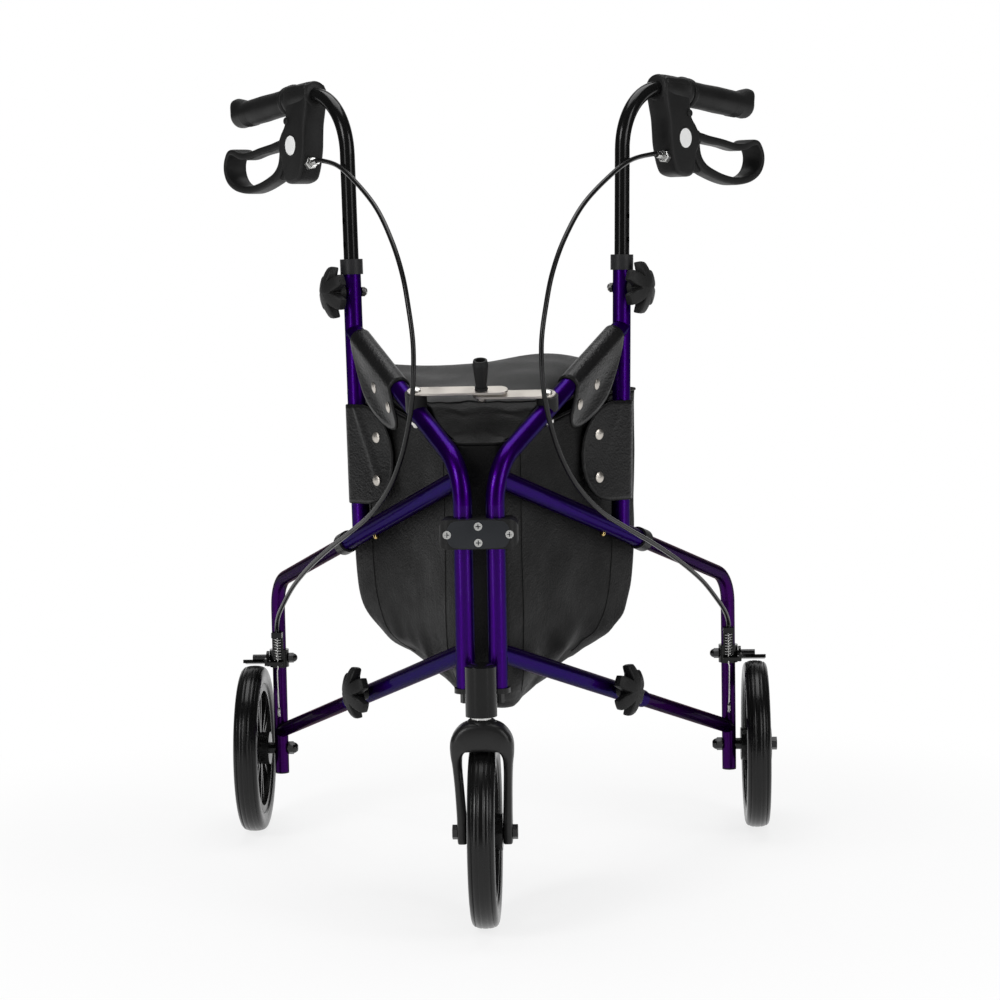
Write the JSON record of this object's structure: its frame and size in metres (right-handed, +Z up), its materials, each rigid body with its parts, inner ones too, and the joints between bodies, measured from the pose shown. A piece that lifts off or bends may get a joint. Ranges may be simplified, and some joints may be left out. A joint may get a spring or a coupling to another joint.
{
  "type": "three wheel rollator",
  "caption": "Folding tri-wheel walker with a steered front caster, loop brakes on height adjusting handles, a toggle lock bar and a hanging leatherette bag.",
  "frame": {"origin": "on the floor, in the middle of the overall width and length", "axes": "+Z up, +X to the right seen from the front, -Y the way the caster leads, so the user stands towards +Y"},
  "size_m": [0.6238, 0.6378, 0.8464],
  "materials": {
    "frame": "candy purple gloss paint",
    "black_paint": "gloss black paint",
    "black_plastic": "moulded, fine grain",
    "grey_plastic": "moulded, satin",
    "fork": "satin",
    "zinc": "bright zinc plate",
    "nickel": "satin nickel plate",
    "brass": "polished",
    "tyre": "smooth solid tread",
    "rim": "moulded",
    "grip": "soft ribbed",
    "cable": "cable sleeve",
    "bag": "grained leatherette"
  },
  "bodies": {
    "front_hinge": {"head_tube": "black_paint", "head_cap": "black_plastic", "head_bearings": "zinc", "hinge_plate": "black_paint", "post_clamp": "black_plastic", "clamp_screws": "zinc", "bag": "bag"},
    "caster": {"fork": "fork", "front_axle": "zinc"},
    "front_wheel": {"front_rim": "rim", "front_tyre": "tyre"},
    "left_frame": {"left_front_tube": "frame", "left_handle_post": "frame", "left_rails": "frame", "left_rear_leg": "frame", "left_rear_stay": "frame", "left_bushes": "grey_plastic", "left_saddle": "black_plastic", "left_fasteners": "zinc", "left_brake_bracket": "black_paint", "left_brake_spring": "zinc", "left_cable": "cable", "left_bag_flaps": "bag"},
    "left_handle": {"left_stem": "black_paint", "left_grip": "grip", "left_brake_housing": "black_plastic", "left_cable_adjuster": "zinc"},
    "left_lever": {"left_brake_lever": "black_plastic"},
    "left_brake": {"left_brake_arm": "black_paint"},
    "left_wheel": {"left_rim": "rim", "left_tyre": "tyre"},
    "left_height_screw": {"left_height_knob": "black_plastic"},
    "left_rail_screw": {"left_rail_knob": "black_plastic"},
    "left_button": {"left_snap_button": "brass"},
    "left_bar": {"left_lock_bar": "nickel", "lock_knob": "black_plastic"},
    "right_frame": {"right_front_tube": "frame", "right_handle_post": "frame", "right_rails": "frame", "right_rear_leg": "frame", "right_rear_stay": "frame", "right_bushes": "grey_plastic", "right_saddle": "black_plastic", "right_fasteners": "zinc", "right_brake_bracket": "black_paint", "right_brake_spring": "zinc", "right_cable": "cable", "right_bag_flaps": "bag"},
    "right_handle": {"right_stem": "black_paint", "right_grip": "grip", "right_brake_housing": "black_plastic", "right_cable_adjuster": "zinc"},
    "right_lever": {"right_brake_lever": "black_plastic"},
    "right_brake": {"right_brake_arm": "black_paint"},
    "right_wheel": {"right_rim": "rim", "right_tyre": "tyre"},
    "right_height_screw": {"right_height_knob": "black_plastic"},
    "right_rail_screw": {"right_rail_knob": "black_plastic"},
    "right_button": {"right_snap_button": "brass"},
    "right_bar": {"right_lock_bar": "nickel"}
  },
  "joints": [
    {"name": "left_fold", "type": "hinge", "parent": "front_hinge", "child": "left_frame", "pos_m": [-0.016, -0.22992, 0], "axis": [0, 0, -1], "range_deg": [0, 22], "deforming": ["bag"]},
    {"name": "left_bar_swing", "type": "hinge", "parent": "left_frame", "child": "left_bar", "pos_m": [-0.066, -0.13588, 0.50745], "axis": [0, -0.342, 0.9397], "range_deg": [0, 89]},
    {"name": "left_handle_slide", "type": "slide", "parent": "left_frame", "child": "left_handle", "axis": [-0.0172, 0.0324, 0.9993], "range_m": [-0.075, 0.05], "deforming": ["left_cable"]},
    {"name": "left_lever_squeeze", "type": "hinge", "parent": "left_handle", "child": "left_lever", "pos_m": [-0.20116, 0.08626, 0.7804], "axis": [0.7955, 0.6059, -0.0059], "range_deg": [0, 7], "stiffness_Nm_per_rad": 3, "springref_deg": -3.44},
    {"name": "left_brake_rock", "type": "hinge", "parent": "left_frame", "child": "left_brake", "pos_m": [-0.26871, 0.22392, 0.2], "axis": [-1, 0, 0], "range_deg": [0, 4.6], "deforming": ["left_brake_spring"]},
    {"name": "left_wheel_spin", "type": "hinge", "parent": "left_frame", "child": "left_wheel", "pos_m": [-0.28801, 0.22392, 0.095], "axis": [1, 0, 0], "continuous": true},
    {"name": "left_height_knob_turn", "type": "hinge", "parent": "left_frame", "child": "left_height_screw", "pos_m": [-0.14201, 0.00707, 0.62416], "axis": [-0.8829, -0.4695, 0], "continuous": true},
    {"name": "left_rail_knob_turn", "type": "hinge", "parent": "left_frame", "child": "left_rail_screw", "pos_m": [-0.12492, -0.02507, 0.2033], "axis": [-0.8829, -0.4695, 0], "continuous": true},
    {"name": "left_button_press", "type": "slide", "parent": "left_frame", "child": "left_button", "axis": [-0.1404, 0.264, 0.9542], "range_m": [0, 0.003], "stiffness_N_per_m": 400, "springref_m": -0.001},
    {"name": "right_fold", "type": "hinge", "parent": "front_hinge", "child": "right_frame", "pos_m": [0.016, -0.22992, 0], "axis": [0, 0, 1], "range_deg": [0, 22]},
    {"name": "right_bar_swing", "type": "hinge", "parent": "right_frame", "child": "right_bar", "pos_m": [0.066, -0.13588, 0.50745], "axis": [0, 0.342, -0.9397], "range_deg": [0, 89]},
    {"name": "right_handle_slide", "type": "slide", "parent": "right_frame", "child": "right_handle", "axis": [0.0172, 0.0324, 0.9993], "range_m": [-0.075, 0.05], "deforming": ["right_cable"]},
    {"name": "right_lever_squeeze", "type": "hinge", "parent": "right_handle", "child": "right_lever", "pos_m": [0.20116, 0.08626, 0.7804], "axis": [0.7955, -0.6059, 0.0059], "range_deg": [0, 7], "stiffness_Nm_per_rad": 3, "springref_deg": -3.44},
    {"name": "right_brake_rock", "type": "hinge", "parent": "right_frame", "child": "right_brake", "pos_m": [0.26871, 0.22392, 0.2], "axis": [-1, 0, 0], "range_deg": [0, 4.6], "deforming": ["right_brake_spring"]},
    {"name": "right_wheel_spin", "type": "hinge", "parent": "right_frame", "child": "right_wheel", "pos_m": [0.28801, 0.22392, 0.095], "axis": [1, 0, 0], "continuous": true},
    {"name": "right_height_knob_turn", "type": "hinge", "parent": "right_frame", "child": "right_height_screw", "pos_m": [0.14201, 0.00707, 0.62416], "axis": [0.8829, -0.4695, 0], "continuous": true},
    {"name": "right_rail_knob_turn", "type": "hinge", "parent": "right_frame", "child": "right_rail_screw", "pos_m": [0.12492, -0.02507, 0.2033], "axis": [0.8829, -0.4695, 0], "continuous": true},
    {"name": "right_button_press", "type": "slide", "parent": "right_frame", "child": "right_button", "axis": [0.1404, 0.264, 0.9542], "range_m": [0, 0.003], "stiffness_N_per_m": 400, "springref_m": -0.001},
    {"name": "caster_swivel", "type": "hinge", "parent": "front_hinge", "child": "caster", "pos_m": [0, -0.25492, 0.213], "axis": [0, 0, 1], "continuous": true},
    {"name": "front_wheel_spin", "type": "hinge", "parent": "caster", "child": "front_wheel", "pos_m": [0, -0.22392, 0.095], "axis": [1, 0, 0], "continuous": true}
  ],
  "couplings": [
    {"joint": "right_fold", "follows": "left_fold", "ratio": 1},
    {"joint": "left_bar_swing", "follows": "left_fold", "ratio": 3.9875},
    {"joint": "right_bar_swing", "follows": "left_fold", "ratio": 3.9875},
    {"joint": "left_brake_rock", "follows": "left_lever_squeeze", "ratio": 0.6429},
    {"joint": "right_brake_rock", "follows": "right_lever_squeeze", "ratio": 0.6429}
  ]
}
